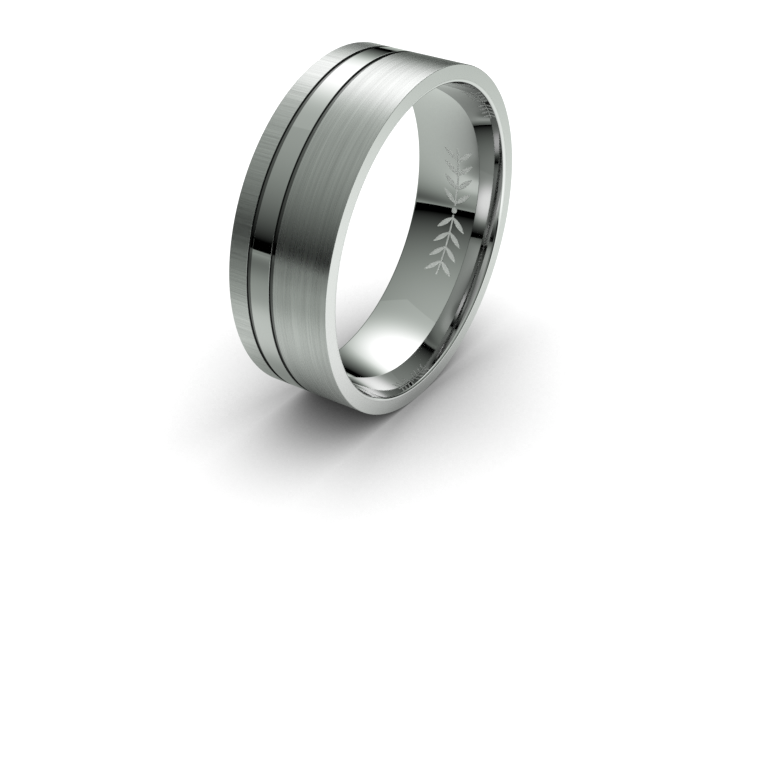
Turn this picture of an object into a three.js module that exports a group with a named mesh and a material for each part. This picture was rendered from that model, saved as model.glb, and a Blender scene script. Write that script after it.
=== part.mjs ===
// A men's flat wedding band, 7 mm wide. Lengths are in millimetres, +Z is up.
//
// The ring's axis lies along Y and its centre is the origin, so the band stands on its rim on the
// plane z = -outerRadius. The wide brushed side faces -Y (front) and the narrow one +Y (rear).
//
// Four rings make the band. A comfort-fit sleeve lines the finger hole, and three bands are pressed
// over it side by side: a wide one, a stepped middle one and a narrow one. The middle band's low
// shoulders are the floors of the two grooves, and its raised strip is flush with its neighbours.

import * as THREE from "three";

// Driving dimensions.
const outerRadius = 11.41;
const frontBandWidth = 3.77;
const stripWidth = 1.33;
const rearBandWidth = 1.31;
const grooveWidth = 0.295;
const grooveDepth = 0.1;

const boreRadiusAtMiddle = 9.97; // narrowest point of the comfort-fit bore
const boreRise = 0.34; // how much wider the bore's arc is at the ring's two faces
const innerEdgeRadius = 0.21; // rounding between the bore and each face
const sleeveEndLand = 0.03; // flat left on the sleeve's end outside that rounding

const outerEdgeBreak = 0.04; // chamfer on the two outer rims
const grooveEdgeBreak = 0.02; // chamfer on the four groove edges
const fitGap = 0.02; // modelled gap where pieces are pressed together

const facets = 72; // flats round the circle, one of them at the very bottom
const boreArcSteps = 8;
const innerEdgeSteps = 3;

// Places along the axis, from the front face to the rear face.
const middleBandWidth = stripWidth + 2 * grooveWidth;
const bandWidth = frontBandWidth + middleBandWidth + rearBandWidth;
const frontFace = -bandWidth / 2;
const rearFace = bandWidth / 2;
const frontSeam = frontFace + frontBandWidth;
const rearSeam = rearFace - rearBandWidth;
const stripFront = frontSeam + grooveWidth;
const stripRear = rearSeam - grooveWidth;

// The bore is an arc of a large circle whose centre lies outside the ring, level with its middle.
const halfWidth = bandWidth / 2;
const boreArcRadius = (halfWidth ** 2 + boreRise ** 2) / (2 * boreRise);
const boreArcCentre = boreRadiusAtMiddle + boreArcRadius;

// Each inner edge is a small arc that touches both the face and the bore's arc.
const edgeCentreAxial = halfWidth - innerEdgeRadius;
const edgeCentreRadius =
  boreArcCentre - Math.sqrt((boreArcRadius - innerEdgeRadius) ** 2 - edgeCentreAxial ** 2);
const boreEndAngle = Math.asin(edgeCentreAxial / (boreArcRadius - innerEdgeRadius));

const sleeveOuterRadius = edgeCentreRadius + sleeveEndLand;
const bandInnerRadius = sleeveOuterRadius + fitGap;
const grooveFloorRadius = outerRadius - grooveDepth;

// A profile point: distance from the axis, then place along the axis.
function at(radius, axial) {
  return new THREE.Vector2(radius, axial);
}

// Points on a circular arc, both ends included. Angle 0 points towards the axis, and the angle
// grows towards the rear.
function arc(centreRadius, centreAxial, radius, fromAngle, toAngle, steps) {
  const points = [];
  for (let step = 0; step <= steps; step += 1) {
    const angle = fromAngle + ((toAngle - fromAngle) * step) / steps;
    points.push(
      at(centreRadius - radius * Math.cos(angle), centreAxial + radius * Math.sin(angle)),
    );
  }
  return points;
}

// A ring turned from a closed section. The points run round the section with the metal on their
// left when distance from the axis is drawn to the right and the rear upwards.
function ring(name, section, material) {
  const closed = [...section, section[0].clone()];
  const firstAngle = Math.PI / facets; // half a flat, so that a flat and not a corner is lowest
  const geometry = new THREE.LatheGeometry(closed, facets, firstAngle, 2 * Math.PI);
  const mesh = new THREE.Mesh(geometry, material);
  mesh.name = name;
  return mesh;
}

function metal(name, color, roughness) {
  const material = new THREE.MeshStandardMaterial({ color, roughness, metalness: 1 });
  material.name = name;
  return material;
}

function polishedMetal() {
  return metal("polished", 0xbcbcbc, 0.03);
}

function brushedMetal(name, roughness) {
  return metal(name, 0xb9b9b9, roughness);
}

// The sleeve: a plain cylinder outside, a comfort-fit arc inside, and two rounded inner edges.
function comfortFitSleeve() {
  const frontEdge = arc(
    edgeCentreRadius,
    -edgeCentreAxial,
    innerEdgeRadius,
    -Math.PI / 2,
    -boreEndAngle,
    innerEdgeSteps,
  );
  const bore = arc(boreArcCentre, 0, boreArcRadius, -boreEndAngle, boreEndAngle, boreArcSteps);
  const rearEdge = arc(
    edgeCentreRadius,
    edgeCentreAxial,
    innerEdgeRadius,
    boreEndAngle,
    Math.PI / 2,
    innerEdgeSteps,
  );
  // The arcs meet end to end, so the bore's first and last points are already in the edges.
  const section = [
    ...frontEdge,
    ...bore.slice(1, -1),
    ...rearEdge,
    at(sleeveOuterRadius, rearFace),
    at(sleeveOuterRadius, frontFace),
  ];
  return ring("comfort_fit_sleeve", section.reverse(), polishedMetal());
}

// The wide front band, brushed round the ring. Its front end is the ring's broad flat face.
function frontBand() {
  const seamFace = frontSeam - fitGap / 2;
  const section = [
    at(bandInnerRadius, frontFace),
    at(outerRadius - outerEdgeBreak, frontFace),
    at(outerRadius, frontFace + outerEdgeBreak),
    at(outerRadius, seamFace - grooveEdgeBreak),
    at(outerRadius - grooveEdgeBreak, seamFace),
    at(bandInnerRadius, seamFace),
  ];
  return ring("front_band", section, brushedMetal("brushed_round", 0.3));
}

// The middle band: a raised polished strip between two low polished shoulders.
function centreBand() {
  const section = [
    at(bandInnerRadius, frontSeam + fitGap / 2),
    at(grooveFloorRadius, frontSeam + fitGap / 2),
    at(grooveFloorRadius, stripFront),
    at(outerRadius - grooveEdgeBreak, stripFront),
    at(outerRadius, stripFront + grooveEdgeBreak),
    at(outerRadius, stripRear - grooveEdgeBreak),
    at(outerRadius - grooveEdgeBreak, stripRear),
    at(grooveFloorRadius, stripRear),
    at(grooveFloorRadius, rearSeam - fitGap / 2),
    at(bandInnerRadius, rearSeam - fitGap / 2),
  ];
  return ring("centre_band", section, polishedMetal());
}

// The narrow rear band, brushed across the ring.
function rearBand() {
  const seamFace = rearSeam + fitGap / 2;
  const section = [
    at(bandInnerRadius, seamFace),
    at(outerRadius - grooveEdgeBreak, seamFace),
    at(outerRadius, seamFace + grooveEdgeBreak),
    at(outerRadius, rearFace - outerEdgeBreak),
    at(outerRadius - outerEdgeBreak, rearFace),
    at(bandInnerRadius, rearFace),
  ];
  return ring("rear_band", section, brushedMetal("brushed_across", 0.26));
}

const weddingBand = new THREE.Group();
weddingBand.name = "wedding_band";
weddingBand.add(comfortFitSleeve(), frontBand(), centreBand(), rearBand());

export default weddingBand;
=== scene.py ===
"""A flat 7 mm wedding band, standing on its rim in a plain white studio.

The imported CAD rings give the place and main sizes. Each is replaced by a finely turned surface
with rounded edges, and the finger hole's sleeve also has an engraved laurel sprig.
Lengths are in metres, and the ring's axis is the Y axis.
"""

import math

import bpy
import numpy as np
from mathutils import Matrix, Vector


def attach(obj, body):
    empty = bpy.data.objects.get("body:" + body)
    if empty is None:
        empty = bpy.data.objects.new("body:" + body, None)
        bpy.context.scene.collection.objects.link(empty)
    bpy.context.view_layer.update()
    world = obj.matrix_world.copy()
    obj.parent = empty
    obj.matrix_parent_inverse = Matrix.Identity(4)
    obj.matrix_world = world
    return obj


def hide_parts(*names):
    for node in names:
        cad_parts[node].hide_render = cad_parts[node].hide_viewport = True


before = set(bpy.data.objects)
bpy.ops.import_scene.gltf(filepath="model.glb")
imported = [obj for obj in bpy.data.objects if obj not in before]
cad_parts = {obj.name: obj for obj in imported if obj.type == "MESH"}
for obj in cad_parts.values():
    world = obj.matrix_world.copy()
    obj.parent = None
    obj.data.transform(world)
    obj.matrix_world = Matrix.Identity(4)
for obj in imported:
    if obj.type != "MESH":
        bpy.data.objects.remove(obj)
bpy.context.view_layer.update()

MM = 0.001


# ---------------------------------------------------------------- sizes taken from the CAD frame


def turned_size(node):
    """A turned node's smallest and largest radius, and its front and rear ends along Y."""
    points = [v.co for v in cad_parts[node].data.vertices]
    radii = [math.hypot(p.x, p.z) for p in points]
    ends = [p.y for p in points]
    return min(radii), max(radii), min(ends), max(ends)


def shoulder_radius(node):
    """The radius of a turned node's front end, such as the middle band's low shoulder."""
    points = [v.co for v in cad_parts[node].data.vertices]
    front = min(p.y for p in points)
    return max(math.hypot(p.x, p.z) for p in points if p.y < front + 0.001 * MM)


BORE_RADIUS, SLEEVE_RADIUS, FRONT, REAR = turned_size("comfort_fit_sleeve")
_, OUTER_RADIUS, _, front_band_end = turned_size("front_band")
_, _, rear_band_start, _ = turned_size("rear_band")
_, _, centre_start, centre_end = turned_size("centre_band")
FLOOR_RADIUS = shoulder_radius("centre_band")
FRONT_SEAM = (front_band_end + centre_start) / 2
REAR_SEAM = (centre_end + rear_band_start) / 2

# The finer sizes are the CAD model's own. Its edge chamfers become roundings here.
GROOVE_WIDTH = 0.295 * MM
BORE_RISE = 0.34 * MM  # how much wider the comfort-fit arc is at the two faces
INNER_EDGE = 0.21 * MM  # rounding between the bore and each face
RIM_EDGE = 0.04 * MM  # rounding of the two outer rims
GROOVE_EDGE = 0.02 * MM  # rounding of the groove edges
SEAM_GAP = 0.004 * MM  # hairline left where two pressed pieces meet, finer than the CAD's gap

HALF_WIDTH = (REAR - FRONT) / 2
BORE_ARC = (HALF_WIDTH**2 + BORE_RISE**2) / (2 * BORE_RISE)
BORE_ARC_CENTRE = BORE_RADIUS + BORE_ARC

TURNS = 480  # steps round each ring
BORE_STEPS = 16  # steps in the bore's arc, on each side of the engraved stretch
INNER_EDGE_STEPS = 14
OUTER_EDGE_STEPS = 4


# ---------------------------------------------------------------- camera


def place_camera():
    """The photograph's view: from the left, above, with the ring high in the frame."""
    azimuth, elevation = math.radians(-58.292), math.radians(25.293)
    yaw, pitch, roll = math.radians(0.373), math.radians(-7.12), math.radians(2.397)
    distance = 7.007 * OUTER_RADIUS
    back = Vector(
        (
            math.sin(azimuth) * math.cos(elevation),
            -math.cos(azimuth) * math.cos(elevation),
            math.sin(elevation),
        )
    )
    world_up = Vector((0, 0, 1))
    right = (-back).cross(world_up).normalized()
    up = right.cross(-back)
    aim = (-back + math.tan(yaw) * right + math.tan(pitch) * up).normalized()
    level = aim.cross(world_up).normalized()
    above = level.cross(aim)
    right = math.cos(roll) * level + math.sin(roll) * above
    up = math.cos(roll) * above - math.sin(roll) * level

    data = bpy.data.cameras.new("camera")
    data.sensor_width = 36
    data.lens = 57.23
    data.clip_start = 1 * MM
    data.clip_end = 10
    camera = bpy.data.objects.new("camera", data)
    bpy.context.scene.collection.objects.link(camera)
    placed = Matrix((right, up, -aim)).transposed().to_4x4()
    placed.translation = back * distance
    camera.matrix_world = placed
    bpy.context.scene.camera = camera


place_camera()
bpy.context.scene.view_settings.view_transform = "Standard"


# ---------------------------------------------------------------- node helper


class Graph:
    """Adds nodes to a tree. An input is given as a number, a tuple or another node's socket."""

    def __init__(self, tree):
        self.tree = tree
        tree.nodes.clear()

    def add(self, kind, inputs=None, **settings):
        node = self.tree.nodes.new(kind)
        for name, value in settings.items():
            setattr(node, name, value)
        for name, value in (inputs or {}).items():
            if isinstance(value, bpy.types.NodeSocket):
                self.tree.links.new(value, node.inputs[name])
            else:
                node.inputs[name].default_value = value
        return node

    def math(self, operation, *values):
        inputs = dict(enumerate(values))
        return self.add("ShaderNodeMath", inputs, operation=operation).outputs[0]

    def vector(self, operation, *values):
        inputs = dict(enumerate(values))
        node = self.add("ShaderNodeVectorMath", inputs, operation=operation)
        return node.outputs["Value" if operation == "DOT_PRODUCT" else "Vector"]

    def ramp(self, value, low, high, to_low=0.0, to_high=1.0):
        """A clamped straight-line change from to_low to to_high as value goes from low to high."""
        inputs = {0: value, 1: low, 2: high, 3: to_low, 4: to_high}
        return self.add("ShaderNodeMapRange", inputs, clamp=True).outputs[0]

    def noise(self, vector, scale, detail=2.0, roughness=0.5):
        inputs = {"Vector": vector, "Scale": scale, "Detail": detail, "Roughness": roughness}
        return self.add("ShaderNodeTexNoise", inputs).outputs["Fac"]


# ---------------------------------------------------------------- materials


def new_material(name):
    material = bpy.data.materials.new(name)
    material.use_nodes = True
    return material, Graph(material.node_tree)


def finish_material(graph, shader):
    graph.add("ShaderNodeOutputMaterial", {"Surface": shader.outputs[0]})


def object_place(graph):
    """The point's place in the row frame, in millimetres."""
    place = graph.add("ShaderNodeTexCoord").outputs["Object"]
    return graph.vector("MULTIPLY", place, (1 / MM,) * 3)


def streaks(graph, place, round_ring, across, along):
    """Noise drawn out into streaks: `across` and `along` are its changes per millimetre."""
    stretch = (along, across, along) if round_ring else (across, along, across)
    return graph.noise(graph.vector("MULTIPLY", place, stretch), 1.0)


def polished_metal(name, base):
    """Mirror polish, with the faint wipe marks and hairlines that buffing leaves."""
    material, graph = new_material(name)
    place = object_place(graph)
    cloud = graph.noise(place, 0.5)
    hairline = streaks(graph, place, True, 14.0, 0.6)
    marks = graph.math("MULTIPLY_ADD", hairline, 0.3, cloud)
    shader = graph.add(
        "ShaderNodeBsdfPrincipled",
        {
            "Base Color": base,
            "Metallic": 1.0,
            "Roughness": graph.ramp(marks, 0.45, 0.85, 0.0, 0.05),
        },
    )
    finish_material(graph, shader)
    return material


def brushed_metal(name, round_ring, roughest, anisotropy):
    """Satin metal with fine brush lines, round the ring or across it."""
    material, graph = new_material(name)
    place = object_place(graph)
    fine = streaks(graph, place, round_ring, 12.0 if round_ring else 20.0, 0.2)
    broad = streaks(graph, place, round_ring, 5.0, 0.04)
    grain = graph.noise(place, 16.0, 1.0)
    height = graph.math("MULTIPLY_ADD", grain, 0.9 if round_ring else 0.3, fine)
    bump = graph.add(
        "ShaderNodeBump", {"Height": height, "Strength": 0.3, "Distance": 0.01 * MM}
    )
    shade = graph.math("MULTIPLY_ADD", broad, 0.6, fine)
    colour = graph.add(
        "ShaderNodeMix",
        {
            "Factor": graph.ramp(shade, 0.5, 1.1),
            6: (0.41, 0.41, 0.41, 1),
            7: (0.56, 0.56, 0.56, 1),
        },
        data_type="RGBA",
    )
    roughness = graph.ramp(fine, 0.3, 0.7, 0.85 * roughest, roughest)
    tangent = graph.add("ShaderNodeTangent", direction_type="RADIAL", axis="Y")
    shader = graph.add(
        "ShaderNodeBsdfPrincipled",
        {
            "Base Color": colour.outputs[2],
            "Metallic": 1.0,
            "Roughness": roughness,
            "Anisotropic": anisotropy,
            "Anisotropic Rotation": 0.25 if round_ring else 0.0,
            "Tangent": tangent.outputs[0],
            "Normal": bump.outputs["Normal"],
        },
    )
    finish_material(graph, shader)
    return material


def shaded_wall_metal():
    """The groove walls: dull, and painted near-black as the shade inside the grooves, with fine
    lines round the ring.
    """
    material, graph = new_material("groove_wall_painted_shade")
    place = object_place(graph)
    rings = streaks(graph, place, True, 30.0, 0.3)
    bump = graph.add(
        "ShaderNodeBump", {"Height": rings, "Strength": 0.3, "Distance": 0.01 * MM}
    )
    shader = graph.add(
        "ShaderNodeBsdfPrincipled",
        {
            # painted shade: the near-black colour stands in for the shade inside the grooves
            "Base Color": (0.09, 0.09, 0.09, 1),
            "Metallic": 1.0,
            "Roughness": graph.ramp(rings, 0.3, 0.7, 0.3, 0.4),
            "Normal": bump.outputs["Normal"],
        },
    )
    finish_material(graph, shader)
    return material


def satin_metal():
    """The fine even satin of the two flat faces."""
    material, graph = new_material("satin_face")
    place = object_place(graph)
    grain = graph.noise(place, 24.0, 3.0)
    cloud = graph.noise(place, 0.8)
    bump = graph.add(
        "ShaderNodeBump", {"Height": grain, "Strength": 0.12, "Distance": 0.01 * MM}
    )
    shader = graph.add(
        "ShaderNodeBsdfPrincipled",
        {
            "Base Color": (0.485, 0.485, 0.485, 1),
            "Metallic": 1.0,
            "Roughness": graph.ramp(cloud, 0.3, 0.7, 0.15, 0.20),
            "Normal": bump.outputs["Normal"],
        },
    )
    finish_material(graph, shader)
    return material


def engraved_metal():
    """The engraved lines' floors and sloping sides, shaded as a light matt grey."""
    material, graph = new_material("engraved")
    place = object_place(graph)
    grain = graph.noise(place, 60.0, 2.0)
    bump = graph.add(
        "ShaderNodeBump", {"Height": grain, "Strength": 0.25, "Distance": 0.005 * MM}
    )
    shader = graph.add(
        "ShaderNodeBsdfPrincipled",
        {
            "Base Color": (0.59, 0.62, 0.59, 1),
            "Metallic": 0.0,
            "Roughness": graph.ramp(grain, 0.3, 0.7, 0.5, 0.7),
            "Normal": bump.outputs["Normal"],
        },
    )
    finish_material(graph, shader)
    return material


POLISHED = polished_metal("polished", (0.50, 0.50, 0.50, 1))
# painted shade: the groove floors' dark base colour stands in for the shade inside the grooves
SHADED_GROOVE_FLOOR = polished_metal("groove_floor_painted_shade", (0.14, 0.14, 0.14, 1))
BRUSHED_ROUND = brushed_metal("brushed_round", True, 0.30, 1.0)
BRUSHED_ACROSS = brushed_metal("brushed_across", False, 0.26, 0.70)
SHADED_WALL = shaded_wall_metal()
SATIN = satin_metal()
ENGRAVED = engraved_metal()


# ---------------------------------------------------------------- turned surfaces

# A section is walked with the metal on its left, radius to the right and Y upwards. It is a list
# of runs, and a run is a material with rows of radius, y and the outward direction's two parts.


def line(material, start, end):
    """A straight run from one (radius, y) to another."""
    step = np.subtract(end, start)
    radial, axial = np.array((step[1], -step[0])) / np.hypot(*step)
    return material, np.array([(*start, radial, axial), (*end, radial, axial)])


def arc(material, centre, radius, start, end, steps):
    """A run bulging away from its centre, between two directions in degrees."""
    angles = np.radians(np.linspace(start, end, steps + 1))
    radial, axial = np.cos(angles), np.sin(angles)
    rows = (centre[0] + radius * radial, centre[1] + radius * axial, radial, axial)
    return material, np.stack(rows, axis=1)


def corner(material, at, radius, start):
    """A quarter-turn rounding of the outer corner `at`, from direction `start` in degrees."""
    middle = math.radians(start + 45)
    inward = math.sqrt(2) * radius
    centre = (at[0] - inward * math.cos(middle), at[1] - inward * math.sin(middle))
    return arc(material, centre, radius, start, start + 90, OUTER_EDGE_STEPS)


def joined(runs):
    """Adds the straight runs that close the gaps between the given ones."""
    closed = []
    for number, (material, rows) in enumerate(runs):
        closed.append((material, rows))
        following = runs[(number + 1) % len(runs)][1]
        if np.hypot(*(following[0, :2] - rows[-1, :2])) > 1e-9:
            closed.append(line(material, rows[-1, :2], following[0, :2]))
    return closed


def turned_ring(name, runs, angles=None, relief=None):
    """A closed surface turned from a section. relief(radius, y, angle) sinks the surface."""
    if angles is None:
        angles = np.linspace(0, 2 * math.pi, TURNS, endpoint=False)
    materials, rows, first, last, slots = [], [], [], [], []
    for material, run in runs:
        if material not in materials:
            materials.append(material)
        rows.extend(run[:-1, :2])
        first.extend(run[:-1, 2:])
        last.extend(run[1:, 2:])
        slots.extend([materials.index(material)] * (len(run) - 1))
    rows, first, last = np.array(rows), np.array(first), np.array(last)
    count, around = len(rows), len(angles)

    radius = np.repeat(rows[:, :1], around, axis=1)
    axial = np.repeat(rows[:, 1:], around, axis=1)
    face_slots = np.repeat(np.array(slots)[:, None], around, axis=1)
    turn = np.stack([np.cos(angles), np.sin(angles)])
    tilt = np.zeros((2, count, around))
    if relief is not None:
        radius, tilt, sunk = relief(radius, axial, np.repeat(angles[None], count, axis=0))
        materials.append(ENGRAVED)
        face_slots = np.where(sunk, len(materials) - 1, face_slots)
    points = np.stack([radius * turn[0], axial, radius * turn[1]], axis=-1)

    def directions(pair, rows_from):
        """Outward directions for the section's rows, tilted where the surface is sunk."""
        radial = np.repeat(pair[:, :1], around, axis=1)
        along = np.repeat(pair[:, 1:], around, axis=1) + tilt[1][rows_from]
        sideways = tilt[0][rows_from]
        vectors = np.stack(
            [
                radial * turn[0] - sideways * turn[1],
                along,
                radial * turn[1] + sideways * turn[0],
            ],
            axis=-1,
        )
        return vectors / np.linalg.norm(vectors, axis=-1, keepdims=True)

    here, above = np.arange(count), (np.arange(count) + 1) % count
    after = (np.arange(around) + 1) % around
    start, end = directions(first, here), directions(last, above)
    index = np.arange(count * around).reshape(count, around)
    faces = np.stack(
        [index, index[above], index[above][:, after], index[:, after]], axis=-1
    ).reshape(-1, 4)
    normals = np.stack([start, end, end[:, after], start[:, after]], axis=2)

    mesh = bpy.data.meshes.new(name)
    mesh.from_pydata(points.reshape(-1, 3).tolist(), [], faces.tolist())
    mesh.polygons.foreach_set("material_index", face_slots.ravel().astype(np.int32))
    for material in materials:
        mesh.materials.append(material)
    mesh.shade_smooth()
    mesh.normals_split_custom_set(normals.reshape(-1, 3).tolist())
    mesh.update()

    piece = bpy.data.objects.new(name, mesh)
    bpy.context.scene.collection.objects.link(piece)
    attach(piece, "root")
    return piece


# ---------------------------------------------------------------- the outer bands


def front_band():
    """The wide band: flat satin face, brushed outside, and a groove wall painted dark as shade."""
    inner, end = SLEEVE_RADIUS + SEAM_GAP, FRONT_SEAM - SEAM_GAP / 2
    runs = [
        line(SATIN, (inner, FRONT), (OUTER_RADIUS - RIM_EDGE, FRONT)),
        corner(BRUSHED_ROUND, (OUTER_RADIUS, FRONT), RIM_EDGE, -90),
        corner(BRUSHED_ROUND, (OUTER_RADIUS, end), GROOVE_EDGE, 0),
        line(SHADED_WALL, (OUTER_RADIUS - GROOVE_EDGE, end), (inner, end)),
        line(POLISHED, (inner, end), (inner, FRONT)),
    ]
    piece = turned_ring("front_band_surface", joined(runs))
    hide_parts("front_band")


def centre_band():
    """The middle band: a raised polished strip between the two grooves, whose floors and walls are
    painted dark as shade.
    """
    inner = SLEEVE_RADIUS + SEAM_GAP
    start, end = FRONT_SEAM + SEAM_GAP / 2, REAR_SEAM - SEAM_GAP / 2
    strip_front, strip_rear = FRONT_SEAM + GROOVE_WIDTH, REAR_SEAM - GROOVE_WIDTH
    runs = [
        line(POLISHED, (inner, start), (FLOOR_RADIUS, start)),
        line(SHADED_GROOVE_FLOOR, (FLOOR_RADIUS, start), (FLOOR_RADIUS, strip_front)),
        line(SHADED_WALL, (FLOOR_RADIUS, strip_front), (OUTER_RADIUS - GROOVE_EDGE, strip_front)),
        corner(POLISHED, (OUTER_RADIUS, strip_front), GROOVE_EDGE, -90),
        corner(POLISHED, (OUTER_RADIUS, strip_rear), GROOVE_EDGE, 0),
        line(SHADED_WALL, (OUTER_RADIUS - GROOVE_EDGE, strip_rear), (FLOOR_RADIUS, strip_rear)),
        line(SHADED_GROOVE_FLOOR, (FLOOR_RADIUS, strip_rear), (FLOOR_RADIUS, end)),
        line(POLISHED, (FLOOR_RADIUS, end), (inner, end)),
    ]
    piece = turned_ring("centre_band_surface", joined(runs))
    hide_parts("centre_band")


def rear_band():
    """The narrow band: a groove wall painted dark as shade, cross-brushed outside, flat satin
    face.
    """
    inner, start = SLEEVE_RADIUS + SEAM_GAP, REAR_SEAM + SEAM_GAP / 2
    runs = [
        line(SHADED_WALL, (inner, start), (OUTER_RADIUS - GROOVE_EDGE, start)),
        corner(BRUSHED_ACROSS, (OUTER_RADIUS, start), GROOVE_EDGE, -90),
        corner(BRUSHED_ACROSS, (OUTER_RADIUS, REAR), RIM_EDGE, 0),
        line(SATIN, (OUTER_RADIUS - RIM_EDGE, REAR), (inner, REAR)),
        line(POLISHED, (inner, REAR), (inner, start)),
    ]
    piece = turned_ring("rear_band_surface", joined(runs))
    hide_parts("rear_band")


# ---------------------------------------------------------------- the sleeve and its engraving

SPRIG_MIDDLE = math.radians(-12)  # its place round the bore, from +X towards +Z
SPRIG_LENGTH = 9.4 * MM
SPRIG_HEIGHT = 2.15 * MM
LEAF_PAIRS = 4  # on each side of the middle
LEAF_WIDTH = 0.30 * MM
BEAD_WIDTH = 0.36 * MM
STEM_WIDTH = 0.10 * MM
ENGRAVED_DEPTH = 0.03 * MM
ENGRAVED_WALL = 0.03 * MM  # width of the sloping side of each line
ENGRAVED_STEP = 0.025 * MM  # mesh spacing where the sprig is


def stroke(along, across, start, end, width, pointed):
    """How far each point lies inside a straight stroke, which may taper to both its ends."""
    run = np.subtract(end, start)
    length = np.hypot(*run)
    share = ((along - start[0]) * run[0] + (across - start[1]) * run[1]) / length**2
    share = np.clip(share, 0, 1)
    away = np.hypot(along - start[0] - share * run[0], across - start[1] - share * run[1])
    half = width / 2 * (np.sin(math.pi * share) if pointed else 1)
    return half - away


def sprig(along, across):
    """How far each point lies inside the laurel sprig, which grows both ways from a bead."""
    half, tall = SPRIG_LENGTH / 2, SPRIG_HEIGHT / 2
    gap = 0.4 * MM
    inside = BEAD_WIDTH / 2 - np.hypot(along, across)
    stem = stroke(abs(along), across, (gap, 0), (half, 0), STEM_WIDTH, False)
    inside = np.maximum(inside, stem)
    spacing = (half - gap) / LEAF_PAIRS
    for number in range(LEAF_PAIRS):
        # Each leaf leans away from the bead, from its root on the stem to the sprig's edge.
        root = gap + number * spacing
        leaf = stroke(
            abs(along),
            abs(across),
            (root + 0.1 * spacing, 0),
            (root + 0.95 * spacing, tall),
            LEAF_WIDTH,
            True,
        )
        inside = np.maximum(inside, leaf)
    return inside


def sink(radius, axial, angles):
    """Sinks the sprig into the bore. Returns the radii, the surface's tilt and the sunk faces."""
    along = (angles - SPRIG_MIDDLE + math.pi) % (2 * math.pi) - math.pi
    on_bore = radius < BORE_RADIUS + 0.1 * MM  # leaves out the sleeve's ends and outside
    inside = sprig(along * BORE_RADIUS, axial)
    depth = ENGRAVED_DEPTH * np.clip(inside / ENGRAVED_WALL + 0.5, 0, 1) * on_bore

    def slope(values, places, axis):
        """Central differences of the depth, zero outside the bore."""
        rise = np.roll(values, -1, axis) - np.roll(values, 1, axis)
        run = np.roll(places, -1, axis) - np.roll(places, 1, axis)
        return np.where(abs(run) > 1e-9, rise / np.where(abs(run) > 1e-9, run, 1), 0)

    round_step = along * BORE_RADIUS
    tilt = np.stack([slope(depth, round_step, 1), slope(depth, axial, 0)])
    tilt = np.where(on_bore & (abs(tilt) < 5), tilt, 0)
    corners = [depth]
    corners.append(np.roll(depth, -1, 0))
    corners.append(np.roll(depth, -1, 1))
    corners.append(np.roll(corners[1], -1, 1))
    sunk = np.max(corners, axis=0) > 0.3 * ENGRAVED_DEPTH
    return radius + depth, tilt, sunk


def bore_arc():
    """The comfort-fit arc from rear to front, with close rows where the sprig is."""
    reach = math.degrees(math.asin((HALF_WIDTH - INNER_EDGE) / (BORE_ARC - INNER_EDGE)))
    fine = math.degrees(math.asin(0.55 * SPRIG_HEIGHT / BORE_ARC))
    fine_steps = round(1.1 * SPRIG_HEIGHT / ENGRAVED_STEP)
    centre = (BORE_ARC_CENTRE, 0)
    parts = [
        arc(POLISHED, centre, BORE_ARC, 180 - reach, 180 - fine, BORE_STEPS),
        arc(POLISHED, centre, BORE_ARC, 180 - fine, 180 + fine, fine_steps),
        arc(POLISHED, centre, BORE_ARC, 180 + fine, 180 + reach, BORE_STEPS),
    ]
    return reach, parts


def sleeve_angles():
    """Steps round the sleeve, close together where the sprig is."""
    reach = 0.52 * SPRIG_LENGTH / BORE_RADIUS
    fine_steps = round(1.04 * SPRIG_LENGTH / ENGRAVED_STEP)
    fine = np.linspace(SPRIG_MIDDLE - reach, SPRIG_MIDDLE + reach, fine_steps, endpoint=False)
    rest = np.linspace(
        SPRIG_MIDDLE + reach, SPRIG_MIDDLE - reach + 2 * math.pi, TURNS, endpoint=False
    )
    return np.concatenate([fine, rest])


def comfort_fit_sleeve():
    """The polished liner: comfort-fit bore, rounded inner edges and the engraved sprig."""
    reach, bore = bore_arc()
    edge_y = HALF_WIDTH - INNER_EDGE
    edge_radius = BORE_ARC_CENTRE - math.sqrt((BORE_ARC - INNER_EDGE) ** 2 - edge_y**2)
    runs = [
        line(POLISHED, (SLEEVE_RADIUS, FRONT), (SLEEVE_RADIUS, REAR)),
        arc(POLISHED, (edge_radius, edge_y), INNER_EDGE, 90, 180 - reach, INNER_EDGE_STEPS),
        *bore,
        arc(POLISHED, (edge_radius, -edge_y), INNER_EDGE, 180 + reach, 270, INNER_EDGE_STEPS),
    ]
    piece = turned_ring(
        "comfort_fit_sleeve_surface", joined(runs), sleeve_angles(), sink
    )
    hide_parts("comfort_fit_sleeve")


front_band()
centre_band()
rear_band()
comfort_fit_sleeve()


# ---------------------------------------------------------------- studio

FLOOR_REACH = 24 * OUTER_RADIUS
FLOOR_NEAR_EDGE = 9.4 * OUTER_RADIUS  # from the ring to the floor's edge on the left
FLOOR_AZIMUTH = 280  # where that near edge is
TINT = (0.945, 1.04, 0.95, 1)  # colour of the dim surroundings in reflections
TINT_FADE = (0.4, 2.0)  # brightness up to which the tint is full, and where little is left
TINT_LEFT = 0.1  # share of the tint left in the brightest light

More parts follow.
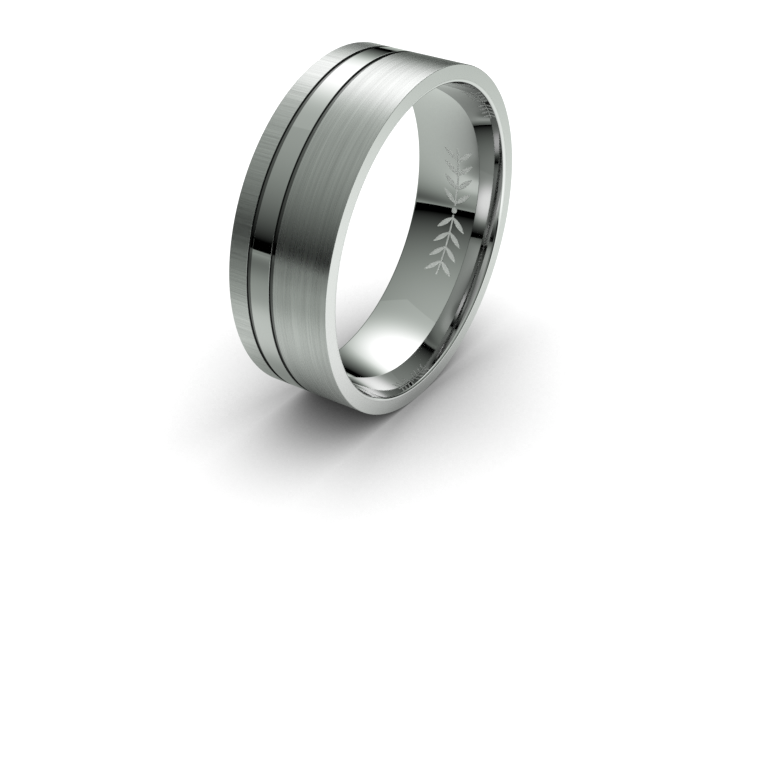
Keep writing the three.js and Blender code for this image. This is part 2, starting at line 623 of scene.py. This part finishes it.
# What the metal mirrors of the surroundings. Heights are sines of the elevation in the dome.
DOME_TILT = 3.5  # degrees that the dome leans towards the floor's near edge
DOME_TOP = 0.774  # brightness overhead
DOME_FOOT = 0.055  # height where the dome starts, with a black gap below it
PAPER_EDGE = (-0.047, -0.043)  # heights of the paper's far edge, where the gap starts
PAPER_LEVEL = 0.4  # brightness of the paper beyond the floor
PANEL_FADE = (0.05, 0.42)  # heights between which the panel comes up to its full brightness
PANEL_WAY = (114, 49.4)  # azimuth and elevation of the soft panel's middle
PANEL_LEVEL = 2.1
PANEL_REACH = 25.7  # degrees from its middle to where it has faded to 1/e
PANEL_SHARPNESS = 3.04
SURROUND_LEVEL = 0.096
SURROUND_CORNER = (199, 54)  # where the surround's two straight edges meet
SURROUND_EDGE = (181, 44.7)  # a point on its slanting edge; the other edge is upright

# What lights the matt engraving from above.
OVERHEAD_LEVEL = 1.93

# The floor glows by itself, with a painted shadow and painted pools of light, as the camera sees
# it and as the metal mirrors it.
SEEN_LEVEL = 1.1
SHADOW_DEPTH = 1.45  # power that the open share of the sky is raised to
CONTACT_REACH = 0.75  # of the ring's radius
CONTACT_DEPTH = 0.5  # painted shadow where the ring stands
CONTACT_AWAY = 1.14  # brightening far from there, which makes up for the shadow's reach
MIRRORED_LEVEL = 0.45
MIRRORED_PATCHES = (  # x, y and reach in ring radii, sharpness, change of brightness; painted light and shade that only reflections see
    (-1.2, -1.93, 4.9, 1.08, 1.98),  # the bright pool in front
    (-2.75, 3.14, 6.0, 2.0, -0.8),  # dusk behind
    (-4.8, -1.2, 3.2, 2.0, -0.3),  # dusk on the left
    (-2.2, -0.6, 1.5, 2.0, -0.55),  # and a deeper patch nearer the ring
    (-1.35, 0.7, 0.65, 3.0, 0.30),  # the light just outside the shadow
    (-0.6, 0.42, 0.38, 4.0, -0.35),  # the shadow under the rear edge
    (0.0, -0.6, 0.6, 2.0, 0.4),  # light that reaches in under the front edge
)


def direction(azimuth, elevation):
    """The way to a point in the surroundings. Azimuth 0 is -Y and 90 is +X, in degrees."""
    a, e = math.radians(azimuth), math.radians(elevation)
    return Vector((math.sin(a) * math.cos(e), -math.cos(a) * math.cos(e), math.sin(e)))


def tint(graph, rays, mirrored):
    """The faint green of the dim surroundings as the metal mirrors them. Bright light is white."""
    dim = graph.ramp(mirrored, *TINT_FADE, 1.0, TINT_LEFT)
    share = graph.math("MULTIPLY", dim, rays.outputs["Is Glossy Ray"])
    colour = graph.add(
        "ShaderNodeMix", {"Factor": share, 6: (1, 1, 1, 1), 7: TINT}, data_type="RGBA"
    )
    return colour.outputs[2]


def soft_panel(graph, toward):
    """One large soft light, high behind and to the right, with a fainter sharp-edged surround."""
    middle = direction(*PANEL_WAY)
    nearness = graph.vector("DOT_PRODUCT", toward, tuple(middle))
    angle = graph.math("ARCCOSINE", graph.math("MINIMUM", nearness, 1.0))
    spread = graph.math("DIVIDE", angle, math.radians(PANEL_REACH))
    spread = graph.math("POWER", spread, PANEL_SHARPNESS)
    glow = graph.math("EXPONENT", graph.math("MULTIPLY", spread, -1.0))
    glow = graph.math("MULTIPLY", glow, PANEL_LEVEL)

    corner_way = direction(*SURROUND_CORNER)
    edges = [
        corner_way.cross(Vector((0, 0, 1))),
        corner_way.cross(direction(*SURROUND_EDGE)),
    ]
    inside = 1.0
    for edge in edges:
        if edge.dot(middle) < 0:
            edge = -edge
        past = graph.vector("DOT_PRODUCT", toward, tuple(edge.normalized()))
        inside = graph.math("MULTIPLY", graph.ramp(past, -0.002, 0.002), inside)
    return graph.math("MULTIPLY_ADD", inside, SURROUND_LEVEL, glow)


def studio():
    """A dim dome that darkens to a black gap just above the paper, and one soft panel.

    What the metal mirrors, what lights the engraving and the white backdrop are set apart."""
    world = bpy.data.worlds.new("studio")
    world.use_nodes = True
    bpy.context.scene.world = world
    world.cycles.sampling_method = "NONE"
    graph = Graph(world.node_tree)
    toward = graph.add("ShaderNodeTexCoord").outputs["Generated"]
    tilted_up = direction(FLOOR_AZIMUTH, 90 - DOME_TILT)
    height = graph.vector("DOT_PRODUCT", toward, tuple(tilted_up))
    dome = graph.ramp(height, DOME_FOOT, 1.0, 0.0, DOME_TOP)
    paper = graph.ramp(height, *PAPER_EDGE, PAPER_LEVEL, 0.0)
    fade = graph.ramp(height, *PANEL_FADE)
    panel = graph.math("MULTIPLY", soft_panel(graph, toward), fade)
    mirrored = graph.math("ADD", graph.math("ADD", dome, paper), panel)

    rays = graph.add("ShaderNodeLightPath")
    upright = graph.vector("DOT_PRODUCT", toward, (0, 0, 1))
    overhead = graph.ramp(upright, 0.2, 0.9, 0.0, OVERHEAD_LEVEL)
    level = graph.add(
        "ShaderNodeMix",
        {"Factor": rays.outputs["Is Diffuse Ray"], "A": mirrored, "B": overhead},
    ).outputs[0]
    level = graph.add(
        "ShaderNodeMix", {"Factor": rays.outputs["Is Camera Ray"], "A": level, "B": 1.0}
    ).outputs[0]
    colour = tint(graph, rays, mirrored)
    shader = graph.add("ShaderNodeBackground", {"Color": colour, "Strength": level})
    graph.add("ShaderNodeOutputWorld", {"Surface": shader.outputs[0]})


def soft_patch(graph, place, middle, reach, power):
    """A patch that fades from 1 at its middle, to 1/e at its reach."""
    away = graph.add("ShaderNodeVectorMath", {0: place, 1: middle}, operation="DISTANCE")
    spread = graph.math("DIVIDE", away.outputs["Value"], reach)
    spread = graph.math("POWER", spread, power)
    return graph.math("EXPONENT", graph.math("MULTIPLY", spread, -1.0))


def floor_material():
    """White paper that glows by itself, with a painted soft contact shadow.

    The metal mirrors it as brightest in front of the ring and dim behind it, which is a painted
    pool of light and painted dusk."""
    material, graph = new_material("floor")
    material.cycles.emission_sampling = "NONE"
    place = object_place(graph)
    ring = OUTER_RADIUS / MM
    mirrored = MIRRORED_LEVEL
    # painted light and shade in the floor's glow, seen only in reflections
    for x, y, reach, power, change in MIRRORED_PATCHES:
        patch = soft_patch(graph, place, (x * ring, y * ring, 0), reach * ring, power)
        mirrored = graph.math("MULTIPLY_ADD", patch, change, mirrored)
    rays = graph.add("ShaderNodeLightPath")
    level = graph.add(
        "ShaderNodeMix",
        {"Factor": rays.outputs["Is Glossy Ray"], "A": SEEN_LEVEL, "B": mirrored},
    ).outputs[0]
    # painted shadow: the floor's own glow is dimmed by how little open sky each point has
    open_sky = graph.add(
        "ShaderNodeAmbientOcclusion", {"Distance": 4 * OUTER_RADIUS}, samples=16
    )
    shade = graph.math("POWER", open_sky.outputs["AO"], SHADOW_DEPTH)
    contact = soft_patch(graph, place, (0, 0, 0), CONTACT_REACH * ring, 2.0)
    contact = graph.math("MULTIPLY_ADD", contact, -CONTACT_DEPTH, CONTACT_AWAY)
    shade = graph.math("MULTIPLY", shade, contact)
    shader = graph.add(
        "ShaderNodeEmission",
        {
            "Color": tint(graph, rays, mirrored),
            "Strength": graph.math("MULTIPLY", level, shade),
        },
    )
    finish_material(graph, shader)
    return material


def floor():
    """A round white floor that the band stands on, reaching further away to the right."""
    middle = direction(FLOOR_AZIMUTH, 0) * (FLOOR_NEAR_EDGE - FLOOR_REACH)
    angles = np.linspace(0, 2 * math.pi, 128, endpoint=False)
    ring = [
        (middle.x + FLOOR_REACH * math.cos(a), middle.y + FLOOR_REACH * math.sin(a), 0)
        for a in angles
    ]
    mesh = bpy.data.meshes.new("studio_floor")
    mesh.from_pydata(ring, [], [tuple(range(len(ring)))])
    mesh.materials.append(floor_material())
    piece = bpy.data.objects.new("studio_floor", mesh)
    piece.location = (0, 0, -OUTER_RADIUS)
    bpy.context.scene.collection.objects.link(piece)


studio()
floor()
